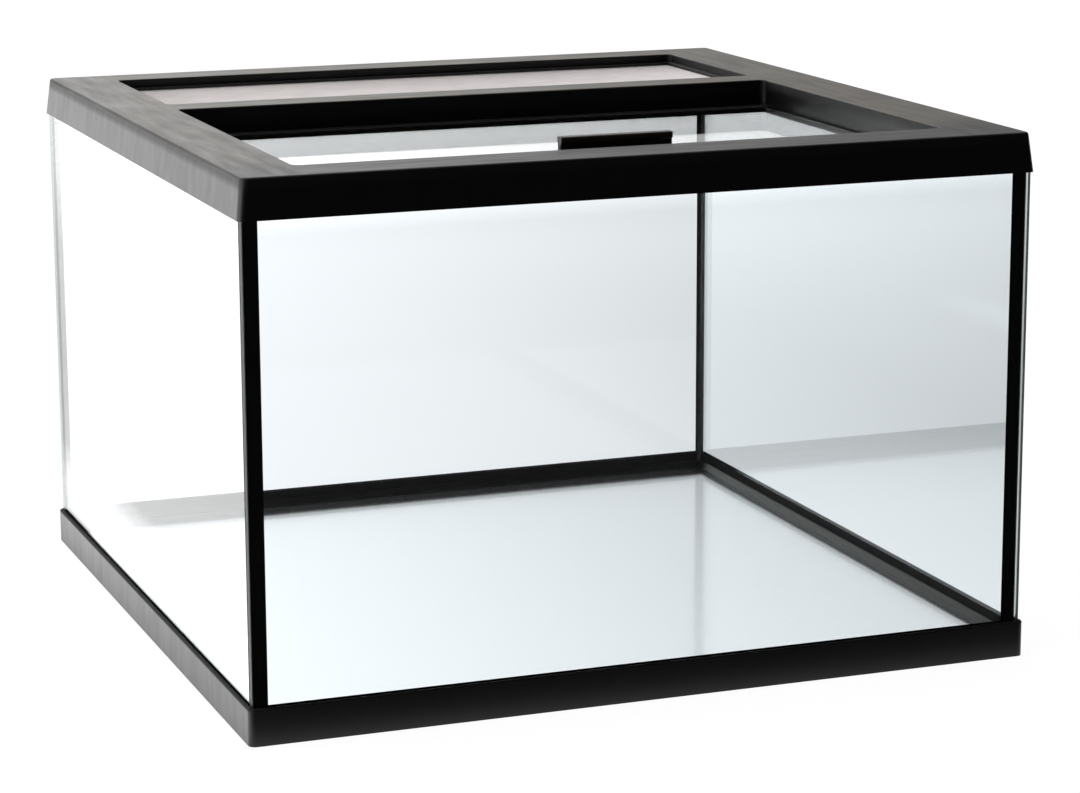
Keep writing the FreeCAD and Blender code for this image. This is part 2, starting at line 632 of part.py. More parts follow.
def make_vent():
    """Mesh on its ledge, with bars across its border both ways, and the ring that holds it down."""
    mesh = new_body("vent_mesh")
    mesh_x = f"({OPENING_X} - mesh_gap)"
    mesh_y = (f"({BAR_REAR} + mesh_gap)", f"({OPENING_REAR} - mesh_gap)")
    inner_x = f"({mesh_x} - mesh_border_width)"
    inner_y = (f"({mesh_y[0]} + mesh_border_width)", f"({mesh_y[1]} - mesh_border_width)")
    reach_x = f"({mesh_x} - mesh_border_width / 2)"
    reach_y = (f"({mesh_y[0]} + mesh_border_width / 2)", f"({mesh_y[1]} - mesh_border_width / 2)")
    cross_bars = [(left, right, *reach_y)
                  for left, right in bars_between(f"-{inner_x}", inner_x, MESH_COLUMN_COUNT)]
    long_bars = [(f"-{reach_x}", reach_x, front, rear)
                 for front, rear in bars_between(*inner_y, MESH_ROW_COUNT)]
    block(mesh, "border", VENT_LEDGE_TOP, MESH_TOP,
          (f"-{mesh_x}", mesh_x, *mesh_y), (f"-{inner_x}", inner_x, *inner_y))
    fillet(mesh, "corners", "opening_corner_radius", upright_at(mesh_x, *mesh_y))
    block(mesh, "cross_bars", VENT_LEDGE_TOP, MESH_TOP, *cross_bars)
    block(mesh, "long_bars", VENT_LEDGE_TOP, MESH_TOP, *long_bars)

    ring = new_body("mesh_retainer")
    ring_x = f"({OPENING_X} - retainer_gap)"
    ring_y = (f"({BAR_REAR} + retainer_gap)", f"({OPENING_REAR} - retainer_gap)")
    hole_x = f"({ring_x} - retainer_width)"
    block(ring, "ring", MESH_TOP, f"({MESH_TOP} + retainer_thickness)",
          (f"-{ring_x}", ring_x, *ring_y),
          (f"-{hole_x}", hole_x, f"({ring_y[0]} + retainer_width)",
           f"({ring_y[1]} - retainer_width)"))
    fillet(ring, "corners", "opening_corner_radius", upright_at(ring_x, *ring_y))
    return [mesh, ring]


def make_all():
    """Every sub-part of the terrarium."""
    made = [make_base_frame()]
    made += make_panes()
    made += [make_corner_seam(side, end) for end in (FRONT, BACK) for side in (LEFT, RIGHT)]
    made.append(make_floor_seam())
    made += make_bonds()
    made.append(make_top_frame())
    made += make_lid()
    made += [make_hinge_pin(side) for side in (LEFT, RIGHT)]
    made += make_handle()
    made += make_vent()
    return made


def check(made):
    """Stop if anything failed to build."""
    for item in document.Objects:
        if "Invalid" in item.State or "Error" in item.State:
            raise ValueError(f"{item.Label} did not build: {item.State}")
    for part in made:
        if part.Shape.isNull() or not part.Shape.isValid():
            raise ValueError(f"{part.Label} has no valid shape")


def write(made):
    """One file for each sub-part."""
    os.makedirs("parts", exist_ok=True)
    for part in made:
        part.Shape.exportStep(os.path.join("parts", f"{part.Label}.step"))
        box = part.Shape.BoundBox
        print(f"{part.Label} solids {len(part.Shape.Solids)}, "
              f"{box.XLength:.2f} x {box.YLength:.2f} x {box.ZLength:.2f} mm from z {box.ZMin:.2f}")


subparts = make_all()
document.recompute()
check(subparts)
write(subparts)
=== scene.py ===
import math

import bpy
from mathutils import Matrix, Vector


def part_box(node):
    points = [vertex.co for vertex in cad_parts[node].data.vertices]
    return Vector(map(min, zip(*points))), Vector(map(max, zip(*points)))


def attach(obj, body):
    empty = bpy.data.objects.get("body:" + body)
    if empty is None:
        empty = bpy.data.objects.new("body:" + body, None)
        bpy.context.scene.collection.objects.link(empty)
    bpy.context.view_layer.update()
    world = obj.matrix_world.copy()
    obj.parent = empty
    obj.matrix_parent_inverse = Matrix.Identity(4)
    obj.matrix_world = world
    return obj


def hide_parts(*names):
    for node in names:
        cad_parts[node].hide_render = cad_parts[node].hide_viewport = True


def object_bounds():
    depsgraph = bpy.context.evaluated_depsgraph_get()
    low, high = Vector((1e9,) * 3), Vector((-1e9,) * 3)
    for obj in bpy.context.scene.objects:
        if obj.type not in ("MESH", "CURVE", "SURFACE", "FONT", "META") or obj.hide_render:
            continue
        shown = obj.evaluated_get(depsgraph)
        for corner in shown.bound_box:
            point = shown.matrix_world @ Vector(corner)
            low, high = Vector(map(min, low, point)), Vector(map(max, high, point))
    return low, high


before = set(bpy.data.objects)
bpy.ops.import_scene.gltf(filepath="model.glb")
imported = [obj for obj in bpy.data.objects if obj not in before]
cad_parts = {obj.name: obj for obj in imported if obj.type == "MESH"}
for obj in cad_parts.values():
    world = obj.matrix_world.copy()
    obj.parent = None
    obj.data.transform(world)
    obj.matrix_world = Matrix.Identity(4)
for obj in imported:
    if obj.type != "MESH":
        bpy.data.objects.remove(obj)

bl_info = {
    "name": "Terrarium",
    "version": (1, 0, 0),
    "blender": (4, 5, 0),
    "location": "3D View > Sidebar > Terrarium",
    "description": "Dresses a glass terrarium with a hinged lid and a mesh vent, and sets it in a studio",
    "category": "Object",
}

CAD_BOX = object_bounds()
MM = 0.001

# The sealant wiped up the panes: its thickness, and how far it ends below the base frame's top.
WIPED_FILM = 0.2 * MM
WIPED_GAP = 0.2 * MM
# The paper lies this far under the tank, so that the two don't share a plane.
PAPER_GAP = 0.05 * MM
# A pane's ground edges begin this far inside its two faces.
GROUND_SKIN = 0.05 * MM
# Nearly all of a noise pattern lies between these.
NOISE_LOW = 0.3
NOISE_HIGH = 0.7
# Index of refraction of the plastic, the sealant, and the sealant where it was wiped thin.
PLASTIC_BEND = 1.5
SEALANT_BEND = 1.43
WIPED_BEND = 1.2
# The lit part of the room begins on a slanting line: this far back for each metre to the right.
ROOM_SLANT = 0.6
SMOOTH = "SMOOTHSTEP"
# How light the paper is where a shadow shows on it.
PAPER_MATT = 0.1
# A face looks along an axis when its normal has at least this much of it.
FACING = 0.9
# The camera's sensor in millimetres, and the nearest and farthest things that it sees, in metres.
SENSOR_WIDTH = 36
NEAREST = 0.05
FARTHEST = 50

PANES = ("front_glass", "rear_glass", "left_glass", "right_glass", "floor_glass")
# These mirror less than the others.
COATED_PANES = ("front_glass", "rear_glass")
SEAMS = ("front_left_seam", "front_right_seam", "rear_left_seam", "rear_right_seam",
         "floor_seam", "base_bond", "top_bond")
FRAMES = ("top_frame", "base_frame", "mesh_retainer")
PINS = ("left_hinge_pin", "right_hinge_pin")
AXES = "XYZ"

RIM_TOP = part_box("top_frame")[1].z
OPENING_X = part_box("vent_mesh")[1].x
OPENING_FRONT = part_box("lid_glass")[0].y
BASE_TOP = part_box("base_frame")[1].z


class TerrariumFinish(bpy.types.PropertyGroup):
    """Colours and finishes of the tank's own materials."""
    plastic: bpy.props.FloatVectorProperty(
        name="Plastic", description="Colour of the moulded frames",
        subtype="COLOR", default=(0.0022, 0.0022, 0.0023))
    plastic_roughness: bpy.props.FloatProperty(
        name="Plastic roughness", description="How matt the moulded frames are",
        subtype="FACTOR", min=0, max=1, default=0.36)
    dust: bpy.props.FloatVectorProperty(
        name="Dust", description="Colour of the dust on top of the rim",
        subtype="COLOR", default=(0.1, 0.08, 0.054))
    silicone: bpy.props.FloatVectorProperty(
        name="Silicone", description="Colour of the sealant",
        subtype="COLOR", default=(0.002, 0.002, 0.002))
    silicone_gloss: bpy.props.FloatVectorProperty(
        name="Silicone gloss", description="Tint of the gloss on the sealant",
        subtype="COLOR", default=(0.9, 1, 0.84))
    glass: bpy.props.FloatVectorProperty(
        name="Glass", description="Tint that one face of a pane gives to light",
        subtype="COLOR", default=(0.962, 0.985, 1.0))
    glass_deep: bpy.props.FloatVectorProperty(
        name="Deep glass", description="Tint of the side panes and the floor pane, seen at a slant",
        subtype="COLOR", default=(0.942, 0.984, 1.0))
    lid_glass: bpy.props.FloatVectorProperty(
        name="Lid glass", description="Tint that one face of the lid gives to light",
        subtype="COLOR", default=(0.99, 0.996, 0.996))
    glass_edge: bpy.props.FloatVectorProperty(
        name="Glass edge", description="Colour of the ground edges of the glass",
        subtype="COLOR", default=(0.34, 0.44, 0.42))
    bend: bpy.props.FloatProperty(
        name="Refraction", description="Index of refraction of the side panes and the lid",
        min=1, max=2, default=1.5)
    bend_low: bpy.props.FloatProperty(
        name="Low refraction", description="Index of refraction of the panes with weak reflections",
        min=1, max=2, default=1.32)
    bend_floor: bpy.props.FloatProperty(
        name="Floor refraction", description="Index of refraction of the floor pane",
        min=1, max=2, default=1.4)
    floor_haze: bpy.props.FloatProperty(
        name="Floor haze", description="How hazy the floor pane is from use",
        subtype="FACTOR", min=0, max=1, default=0.08)
    steel: bpy.props.FloatVectorProperty(
        name="Steel", description="Colour of the hinge pins",
        subtype="COLOR", default=(0.56, 0.57, 0.58))
    wire: bpy.props.FloatVectorProperty(
        name="Wire", description="Colour of the vent's wire",
        subtype="COLOR", default=(0.86, 0.81, 0.8))
    pad: bpy.props.FloatVectorProperty(
        name="Pad", description="Colour of the adhesive foam under the handle",
        subtype="COLOR", default=(0.02, 0.02, 0.02))


class TerrariumMesh(bpy.types.PropertyGroup):
    """Sizes of the wire mesh in the vent."""
    pitch: bpy.props.FloatProperty(
        name="Pitch", description="From one wire to the next",
        subtype="DISTANCE", unit="LENGTH", default=1.6 * MM)
    wire: bpy.props.FloatProperty(
        name="Wire", description="Thickness of a wire",
        subtype="DISTANCE", unit="LENGTH", default=0.46 * MM)


class TerrariumStudio(bpy.types.PropertyGroup):
    """Camera, backdrop and light."""
    camera_place: bpy.props.FloatVectorProperty(
        name="Camera", description="Where the camera stands",
        subtype="TRANSLATION", unit="LENGTH", default=(-0.6606, -1.8176, 0.5504))
    yaw: bpy.props.FloatProperty(
        name="Yaw", description="How far the camera looks to the right of straight back",
        subtype="ANGLE", default=math.radians(20.525))
    pitch: bpy.props.FloatProperty(
        name="Pitch", description="How far the camera looks down",
        subtype="ANGLE", default=math.radians(12.47))
    roll: bpy.props.FloatProperty(
        name="Roll", description="How far the camera leans to the right",
        subtype="ANGLE", default=math.radians(0.223))
    lens: bpy.props.FloatProperty(
        name="Lens", description="Focal length in millimetres for a sensor of 36 mm",
        default=109.73)
    backdrop: bpy.props.FloatProperty(
        name="Backdrop", description="Brightness of the backdrop in glass and gloss, left of the tank",
        default=1.75)
    backdrop_right: bpy.props.FloatProperty(
        name="Backdrop on the right", description="Its brightness in gloss, right of the tank",
        default=0.48)
    front: bpy.props.FloatProperty(
        name="Front", description="Brightness of the dark room in front of the tank",
        default=0.015)
    beside: bpy.props.FloatProperty(
        name="Beside", description="How much brighter the paper just left of the tank is in gloss",
        default=1.5)
    window: bpy.props.FloatProperty(
        name="Window", description="How much brighter the paper far to the left is in gloss",
        default=4)
    paper: bpy.props.FloatProperty(
        name="Paper", description="Brightness of the paper behind the middle of the tank",
        default=0.88)
    white: bpy.props.FloatProperty(
        name="White", description="Brightness of the paper that the camera sees outside any shadow",
        default=0.96)


def nodes_of(material):
    """A new, empty node tree."""
    material.use_nodes = True
    material.node_tree.nodes.clear()
    return material.node_tree


def add_node(tree, kind, **settings):
    """A node with its settings."""
    node = tree.nodes.new(kind)
    for name, value in settings.items():
        setattr(node, name, value)
    return node


def plug(tree, source, node, socket):
    """Link an output to a socket of a node."""
    tree.links.new(source, node.inputs[socket])


def place(tree):
    """The place on the object, in metres."""
    return add_node(tree, "ShaderNodeTexCoord").outputs["Object"]


def stretched(tree, scale):
    """The place on the object, stretched along the axes with a small scale."""
    mapping = add_node(tree, "ShaderNodeMapping")
    mapping.inputs["Scale"].default_value = scale
    plug(tree, place(tree), mapping, "Vector")
    return mapping.outputs["Vector"]


def noise(tree, vector, scale, detail, roughness=0.55):
    """A noise pattern with features of about one part in the scale."""
    node = add_node(tree, "ShaderNodeTexNoise")
    node.inputs["Scale"].default_value = scale
    node.inputs["Detail"].default_value = detail
    node.inputs["Roughness"].default_value = roughness
    plug(tree, vector, node, "Vector")
    return node.outputs["Fac"]


def spread(tree, value, low, high, out_low, out_high, kind="LINEAR"):
    """A value moved from the range low to high to the range out_low to out_high, and kept inside it."""
    node = add_node(tree, "ShaderNodeMapRange", interpolation_type=kind)
    node.inputs["From Min"].default_value = low
    node.inputs["From Max"].default_value = high
    node.inputs["To Min"].default_value = out_low
    node.inputs["To Max"].default_value = out_high
    plug(tree, value, node, "Value")
    return node.outputs["Result"]


def feed(tree, value, socket):
    """Link an output to a socket, or set the socket to a number."""
    if isinstance(value, bpy.types.NodeSocket):
        tree.links.new(value, socket)
    else:
        socket.default_value = value


def sums(tree, operation, first, second=0):
    """One sum of two values, each an output or a number."""
    node = add_node(tree, "ShaderNodeMath", operation=operation)
    feed(tree, first, node.inputs[0])
    feed(tree, second, node.inputs[1])
    return node.outputs["Value"]


def product(tree, first, *others):
    """Values multiplied with each other."""
    for value in others:
        first = sums(tree, "MULTIPLY", first, value)
    return first


def mixed(tree, share, first, second):
    """Two colours mixed."""
    node = add_node(tree, "ShaderNodeMix", data_type="RGBA")
    plug(tree, share, node, "Factor")
    for socket, colour in (("A", first), ("B", second)):
        target = [entry for entry in node.inputs if entry.name == socket and entry.type == "RGBA"][0]
        target.default_value = (*colour, 1)
    return [entry for entry in node.outputs if entry.type == "RGBA"][0]


def raised(tree, height, distance, strength, under=None):
    """A bump of a height pattern, over another bump if there is one."""
    node = add_node(tree, "ShaderNodeBump")
    node.inputs["Strength"].default_value = strength
    node.inputs["Distance"].default_value = distance
    plug(tree, height, node, "Height")
    if under is not None:
        plug(tree, under, node, "Normal")
    return node.outputs["Normal"]


def from_noise(tree, pattern, low, high):
    """A value that follows a noise pattern from low to high."""
    return spread(tree, pattern, NOISE_LOW, NOISE_HIGH, low, high)


def part_of(tree, vector, axis):
    """One coordinate of a vector."""
    node = add_node(tree, "ShaderNodeSeparateXYZ")
    plug(tree, vector, node, "Vector")
    return node.outputs[axis]


def spread_between(tree, share, first, second):
    """A value between two others, each an output or a number."""
    node = add_node(tree, "ShaderNodeMix", data_type="FLOAT")
    plug(tree, share, node, "Factor")
    feed(tree, first, node.inputs[2])
    feed(tree, second, node.inputs[3])
    return node.outputs[0]


def surface(tree, **settings):
    """The main shader, joined to the output. Each setting is a socket's name, with _ for a space."""
    shader = add_node(tree, "ShaderNodeBsdfPrincipled")
    output = add_node(tree, "ShaderNodeOutputMaterial")
    plug(tree, shader.outputs["BSDF"], output, "Surface")
    for socket, value in settings.items():
        name = socket.replace("_", " ")
        if isinstance(value, bpy.types.NodeSocket):
            plug(tree, value, shader, name)
        elif isinstance(value, (int, float)):
            shader.inputs[name].default_value = value
        else:
            shader.inputs[name].default_value = (*value, 1)


def lighter(colour, share):
    """A colour moved towards white by a share."""
    return tuple(part + (1 - part) * share for part in colour)


def rail_streaks(tree):
    """Streaks from the moulding. They run along the side rails, along the front and rear rails, and
    down the outer walls."""
    across = sums(tree, "ABSOLUTE", part_of(tree, place(tree), "X"))
    height = part_of(tree, place(tree), "Z")
    on_side_rail = spread(tree, across, OPENING_X - 2 * MM, OPENING_X + 2 * MM, 0, 1)
    on_wall = spread(tree, height, RIM_TOP - 1.2 * MM, RIM_TOP - 2.4 * MM, 0, 1)
    lengthwise = noise(tree, stretched(tree, (1, 0.12, 1)), scale=150, detail=4)
    crosswise = noise(tree, stretched(tree, (0.12, 1, 1)), scale=150, detail=4)
    upright = noise(tree, stretched(tree, (1, 1, 0.3)), scale=120, detail=4)
    upright = spread(tree, upright, 0, 1, NOISE_LOW, NOISE_HIGH)
    level = spread_between(tree, on_side_rail, crosswise, lengthwise)
    return spread_between(tree, on_wall, level, upright)


def dust_and_front_shade(tree, streaks):
    """How much dust lies on the rim's top, in streaks; less on the front rail, as painted shade that
    darkens it.
    """
    on_top = spread(tree, part_of(tree, place(tree), "Z"), RIM_TOP - 0.6 * MM, RIM_TOP, 0, 1)
    # Painted shade: the dust is thinned on the front rail so that the rail looks darker, where its gloss
    # is weaker.
    front_rail_painted_shade = spread(tree, part_of(tree, place(tree), "Y"), OPENING_FRONT - 6 * MM,
                          OPENING_FRONT + 40 * MM, 0.05, 1)
    patches = spread(tree, noise(tree, place(tree), scale=45, detail=5), 0.35, 0.65, 0.5, 1)
    return product(tree, on_top, front_rail_painted_shade, from_noise(tree, streaks, 0.6, 1), patches)


def matt_edges(tree):
    """How much more matt the upper edges of the base frame and of the rim are, from wear and dust."""
    height = part_of(tree, place(tree), "Z")
    near_base_top = spread(tree, height, BASE_TOP - 1.6 * MM, BASE_TOP - 0.8 * MM, 0, 0.4)
    on_base = product(tree, near_base_top, sums(tree, "LESS_THAN", height, BASE_TOP + MM))
    near_rim_top = spread(tree, height, RIM_TOP - 7 * MM, RIM_TOP - 3.5 * MM, 0, 0.15)
    below_rim_top = spread(tree, height, RIM_TOP - 0.4 * MM, RIM_TOP - 0.1 * MM, 1, 0)
    return sums(tree, "ADD", on_base, product(tree, near_rim_top, below_rim_top))


def moulded_plastic(name, finish, roughness):
    """Black moulded plastic: fine grain, faint streaks along the rails and dust on the rim's top, thinned
    on the front rail as painted shade.
    """
    material = bpy.data.materials.new(name)
    tree = nodes_of(material)
    grain = noise(tree, place(tree), scale=1400, detail=2)
    streaks = rail_streaks(tree)
    colour = mixed(tree, dust_and_front_shade(tree, streaks), finish.plastic, finish.dust)
    worn = from_noise(tree, streaks, roughness - 0.06, roughness + 0.08)
    worn = sums(tree, "ADD", worn, matt_edges(tree))
    bump = raised(tree, streaks, distance=0.02 * MM, strength=0.35)
    bump = raised(tree, grain, distance=0.02 * MM, strength=0.3, under=bump)
    surface(tree, Base_Color=colour, Roughness=worn, IOR=PLASTIC_BEND, Normal=bump)
    return material


def edge_mask(tree, axis, low, high):
    """One on the narrow edges of a pane and zero on its two faces."""
    middle = (low + high) / 2
    from_middle = sums(tree, "SUBTRACT", part_of(tree, place(tree), axis), middle)
    from_middle = sums(tree, "ABSOLUTE", from_middle)
    return sums(tree, "LESS_THAN", from_middle, (high - low) / 2 - GROUND_SKIN)


def clear_glass(name, tint, edge, bend, haze=0):
    """Float glass: clear faces, a little hazy if need be, and ground edges that are greener and matt."""
    low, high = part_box(name)
    sides = [high[count] - low[count] for count in range(len(AXES))]
    thin = sides.index(min(sides))
    material = bpy.data.materials.new(name)
    tree = nodes_of(material)
    mask = edge_mask(tree, AXES[thin], low[thin], high[thin])
    ground = from_noise(tree, noise(tree, place(tree), scale=900, detail=2), 0.3, 0.5)
    roughness = sums(tree, "MAXIMUM", product(tree, mask, ground), haze)
    colour = mixed(tree, mask, tint, edge)
    surface(tree, Base_Color=colour, Roughness=roughness, IOR=bend, Transmission_Weight=1)
    return material


def tooled_silicone(finish):
    """Black sealant with the faint ripples of the tool that smoothed it."""
    material = bpy.data.materials.new("black_silicone")
    tree = nodes_of(material)
    ripple = noise(tree, place(tree), scale=160, detail=3)
    fine = noise(tree, place(tree), scale=1100, detail=2)
    roughness = from_noise(tree, fine, 0.3, 0.42)
    bump = raised(tree, ripple, distance=0.15 * MM, strength=0.5)
    colour = mixed(tree, spread(tree, ripple, 0.35, 0.7, 0, 0.02), finish.silicone,
                   lighter(finish.silicone, 0.2))
    surface(tree, Base_Color=colour, Roughness=roughness, IOR=SEALANT_BEND, Normal=bump,
            Specular_Tint=finish.silicone_gloss)
    return material


def wiped_silicone(finish):
    """Thin black sealant that was wiped up the glass: matt, with faint marks along it."""
    material = bpy.data.materials.new("wiped_silicone")
    tree = nodes_of(material)
    marks = noise(tree, stretched(tree, (0.3, 0.3, 1)), scale=700, detail=3)
    roughness = from_noise(tree, marks, 0.6, 0.75)
    bump = raised(tree, marks, distance=0.05 * MM, strength=0.4)
    colour = mixed(tree, marks, finish.silicone, lighter(finish.silicone, 0.01))
    surface(tree, Base_Color=colour, Roughness=roughness, IOR=WIPED_BEND, Normal=bump)
    return material


def drawn_steel(finish):
    """Steel pin with fine marks along its length."""
    material = bpy.data.materials.new("hinge_steel")
    tree = nodes_of(material)
    marks = noise(tree, stretched(tree, (0.05, 1, 1)), scale=5000, detail=2)
    roughness = from_noise(tree, marks, 0.24, 0.4)
    bump = raised(tree, marks, distance=0.01 * MM, strength=0.4)
    colour = mixed(tree, marks, finish.steel, lighter(finish.steel, 0.15))
    surface(tree, Base_Color=colour, Roughness=roughness, Metallic=1, Normal=bump)
    return material


def bright_wire(finish):
    """Light metal wire, a little uneven in colour and gloss."""
    material = bpy.data.materials.new("wire_mesh")
    tree = nodes_of(material)
    cloud = noise(tree, place(tree), scale=60, detail=4)
    roughness = from_noise(tree, cloud, 0.34, 0.46)
    darker = tuple(part * 0.9 for part in finish.wire)
    colour = mixed(tree, from_noise(tree, cloud, 0, 1), finish.wire, darker)
    surface(tree, Base_Color=colour, Roughness=roughness, Metallic=0.35)
    return material


def adhesive_foam(finish):
    """Foam tape with small cells."""
    material = bpy.data.materials.new("adhesive_pad")
    tree = nodes_of(material)
    cells = add_node(tree, "ShaderNodeTexVoronoi")
    cells.inputs["Scale"].default_value = 2600
    plug(tree, place(tree), cells, "Vector")
    bump = raised(tree, cells.outputs["Distance"], distance=0.06 * MM, strength=0.6)
    colour = mixed(tree, cells.outputs["Distance"], finish.pad, lighter(finish.pad, 0.06))
    surface(tree, Base_Color=colour, Roughness=0.85, Normal=bump)
    return material


def dress(names, material):
    """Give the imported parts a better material."""
    for name in names:
        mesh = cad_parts[name].data
        mesh.materials.clear()
        mesh.materials.append(material)


def deselect():
    """Leave edit mode and select nothing."""
    if bpy.context.object and bpy.context.object.mode != "OBJECT":
        bpy.ops.object.mode_set(mode="OBJECT")
    bpy.ops.object.select_all(action="DESELECT")


def pick(piece):
    """Select a piece alone and make it active."""
    deselect()
    piece.select_set(True)
    bpy.context.view_layer.objects.active = piece


def settled(name):
    """The primitive that was just added, with its name, and its place, turn and scale in its mesh."""
    piece = bpy.context.object
    piece.name = name
    piece.data.name = name
    pick(piece)
    bpy.ops.object.transform_apply(location=True, rotation=True, scale=True)
    return piece


def modify(piece, kind, **settings):
    """Add a modifier with its settings and apply it."""
    modifier = piece.modifiers.new(kind, kind)
    for name, value in settings.items():
        setattr(modifier, name, value)
    pick(piece)
    bpy.ops.object.modifier_apply(modifier=modifier.name)


def select_faces(piece, wanted):
    """Go into edit mode with only the wanted faces selected."""
    bpy.ops.object.mode_set(mode="EDIT")
    bpy.ops.mesh.select_mode(type="FACE")
    bpy.ops.mesh.select_all(action="DESELECT")
    bpy.ops.object.mode_set(mode="OBJECT")
    for face in piece.data.polygons:
        face.select = wanted(face)
    bpy.ops.object.mode_set(mode="EDIT")


def add_wires(name, axis, length, thickness, first, step, count):
    """Parallel wires with rounded ends, along X or Y."""
    deselect()
    turn = (0, math.pi / 2, 0) if axis == "X" else (math.pi / 2, 0, 0)
    bpy.ops.mesh.primitive_cylinder_add(vertices=8, radius=thickness / 2, depth=length,
                                        location=first, rotation=turn)
    piece = settled(name)
    select_faces(piece, lambda face: abs(face.normal[AXES.index(axis)]) > FACING)
    bpy.ops.mesh.inset(thickness=thickness / 8, depth=thickness / 8)
    bpy.ops.object.mode_set(mode="OBJECT")
    modify(piece, "ARRAY", count=count, use_relative_offset=False, use_constant_offset=True,
           constant_offset_displace=step)
    bpy.ops.object.shade_smooth_by_angle(angle=math.radians(50))
    return piece


def add_ring(name, half_x, half_y, bottom, top, wall):
    """An upright band of a rectangle's four sides, with its thickness inwards."""
    deselect()
    bpy.ops.mesh.primitive_cube_add(size=1, location=(0, 0, (bottom + top) / 2),
                                    scale=(2 * half_x, 2 * half_y, top - bottom))
    piece = settled(name)
    select_faces(piece, lambda face: abs(face.normal.z) > FACING)
    bpy.ops.mesh.delete(type="FACE")
    bpy.ops.object.mode_set(mode="OBJECT")
    modify(piece, "SOLIDIFY", thickness=wall, offset=-1, use_even_offset=True)
    return piece


class TERRARIUM_OT_frames(bpy.types.Operator):
    """Dress the moulded frames, the ring over the mesh and the hinge strip"""
    bl_idname = "terrarium.frames"
    bl_label = "Frames"

    def execute(self, context):
        finish = context.scene.terrarium_finish
        dress(FRAMES, moulded_plastic("black_plastic", finish, finish.plastic_roughness))
        dress(["hinge_strip"], moulded_plastic("strip_plastic", finish, finish.plastic_roughness))
        return {"FINISHED"}


class TERRARIUM_OT_panes(bpy.types.Operator):
    """Dress the five panes of the tank"""
    bl_idname = "terrarium.panes"
    bl_label = "Panes"

    def execute(self, context):
        finish = context.scene.terrarium_finish
        for name in PANES:
            bend = finish.bend_low if name in COATED_PANES else finish.bend
            haze = 0
            if name == "floor_glass":
                bend = finish.bend_floor
                haze = finish.floor_haze
            tint = finish.glass if name in COATED_PANES else finish.glass_deep
            dress([name], clear_glass(name, tint, finish.glass_edge, bend, haze))
        return {"FINISHED"}


class TERRARIUM_OT_seams(bpy.types.Operator):
    """Dress the sealant between the panes and in the frames, and wipe some up the foot of the panes"""
    bl_idname = "terrarium.seams"
    bl_label = "Seams"

    def execute(self, context):
        finish = context.scene.terrarium_finish
        dress([*SEAMS, "strip_bond_film"], tooled_silicone(finish))
        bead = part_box("floor_seam")[1]
        film = add_ring("wiped_seam", bead.x, bead.y, bead.z, BASE_TOP - WIPED_GAP, WIPED_FILM)
        film.data.materials.append(wiped_silicone(finish))
        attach(film, "tank")
        return {"FINISHED"}


class TERRARIUM_OT_lid(bpy.types.Operator):
    """Dress the lid, its hinge pins and its handle"""
    bl_idname = "terrarium.lid"
    bl_label = "Lid"

    def execute(self, context):
        finish = context.scene.terrarium_finish
        glass = clear_glass("lid_glass", finish.lid_glass, finish.glass_edge, finish.bend)
        dress(["lid_glass"], glass)
        dress(PINS, drawn_steel(finish))
        dress(["lid_handle"], moulded_plastic("handle_plastic", finish, finish.plastic_roughness))
        dress(["handle_pad"], adhesive_foam(finish))
        return {"FINISHED"}


class TERRARIUM_OT_vent(bpy.types.Operator):
    """Lay the wire mesh of the vent, one layer of wires each way"""
    bl_idname = "terrarium.vent"
    bl_label = "Vent"

    def execute(self, context):
        sizes = context.scene.terrarium_mesh
        wire = bright_wire(context.scene.terrarium_finish)
        low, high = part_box("vent_mesh")
        tip = sizes.wire
        span = [high[count] - low[count] - 2 * tip for count in range(2)]
        layers = (("vent_long_wires", "X", low.z + sizes.wire / 2),
                  ("vent_cross_wires", "Y", low.z + sizes.wire * 1.5))
        for name, axis, height in layers:
            along = AXES.index(axis)
            across = 1 - along
            count = int(span[across] / sizes.pitch)
            rest = span[across] - (count - 1) * sizes.pitch
            first = Vector((0, 0, height))
            first[along] = (low[along] + high[along]) / 2
            first[across] = low[across] + tip + rest / 2
            step = [0, 0, 0]
            step[across] = sizes.pitch
            piece = add_wires(name, axis, span[along], sizes.wire, first, step, count)
            piece.data.materials.append(wire)
            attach(piece, "tank")
            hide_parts("vent_mesh")
        return {"FINISHED"}


def ray_kinds(tree):
    """Which rays look at the stage: the camera's own, and those that only went through glass."""
    seen = add_node(tree, "ShaderNodeLightPath").outputs
    straight = sums(tree, "LESS_THAN", seen["Glossy Depth"], 0.5)
    return seen["Is Camera Ray"], product(tree, seen["Is Transmission Ray"], straight)


def paper_behind(tree, studio, back, across):
    """Light of the paper behind the tank, by the distance from the tank's middle. It falls off to the
    right and grows farther back, and a patch on the right is dimmer."""
    reach = 1.2
    slope = 0.62
    sideways = spread(tree, across, -reach, reach, studio.paper + slope, studio.paper - slope)
    under_tank = spread(tree, back, 0.1, 0.3, 0.08, 0)
    farther = sums(tree, "ADD", under_tank, spread(tree, back, 0.3, 1.2, 0, 0.22))
    patch = product(tree, spread(tree, across, 0.2, 0.5, 0, 0.07), spread(tree, back, 0.3, 1.1, 1.9, 0))
    return sums(tree, "ADD", sideways, sums(tree, "SUBTRACT", farther, patch))


def with_horizon(tree, glow, back, rise):
    """The paper's light with its rise far behind the tank, and never below a half."""
    horizon = spread(tree, back, 1.3, 1.9, 0, 1)
    return sums(tree, "MAXIMUM", sums(tree, "ADD", glow, product(tree, horizon, rise)), 0.5)


def lit_share(tree, studio, back, across):
    """One behind the tank and to its left, and the dark room's brightness in front of it."""
    from_left = sums(tree, "SUBTRACT", back, product(tree, across, ROOM_SLANT))
    lit = sums(tree, "MAXIMUM", spread(tree, back, -0.27, -0.21, 0, 1, SMOOTH),
               spread(tree, from_left, 0.05, 0.3, 0, 1, SMOOTH))
    return spread(tree, lit, 0, 1, studio.front, 1)


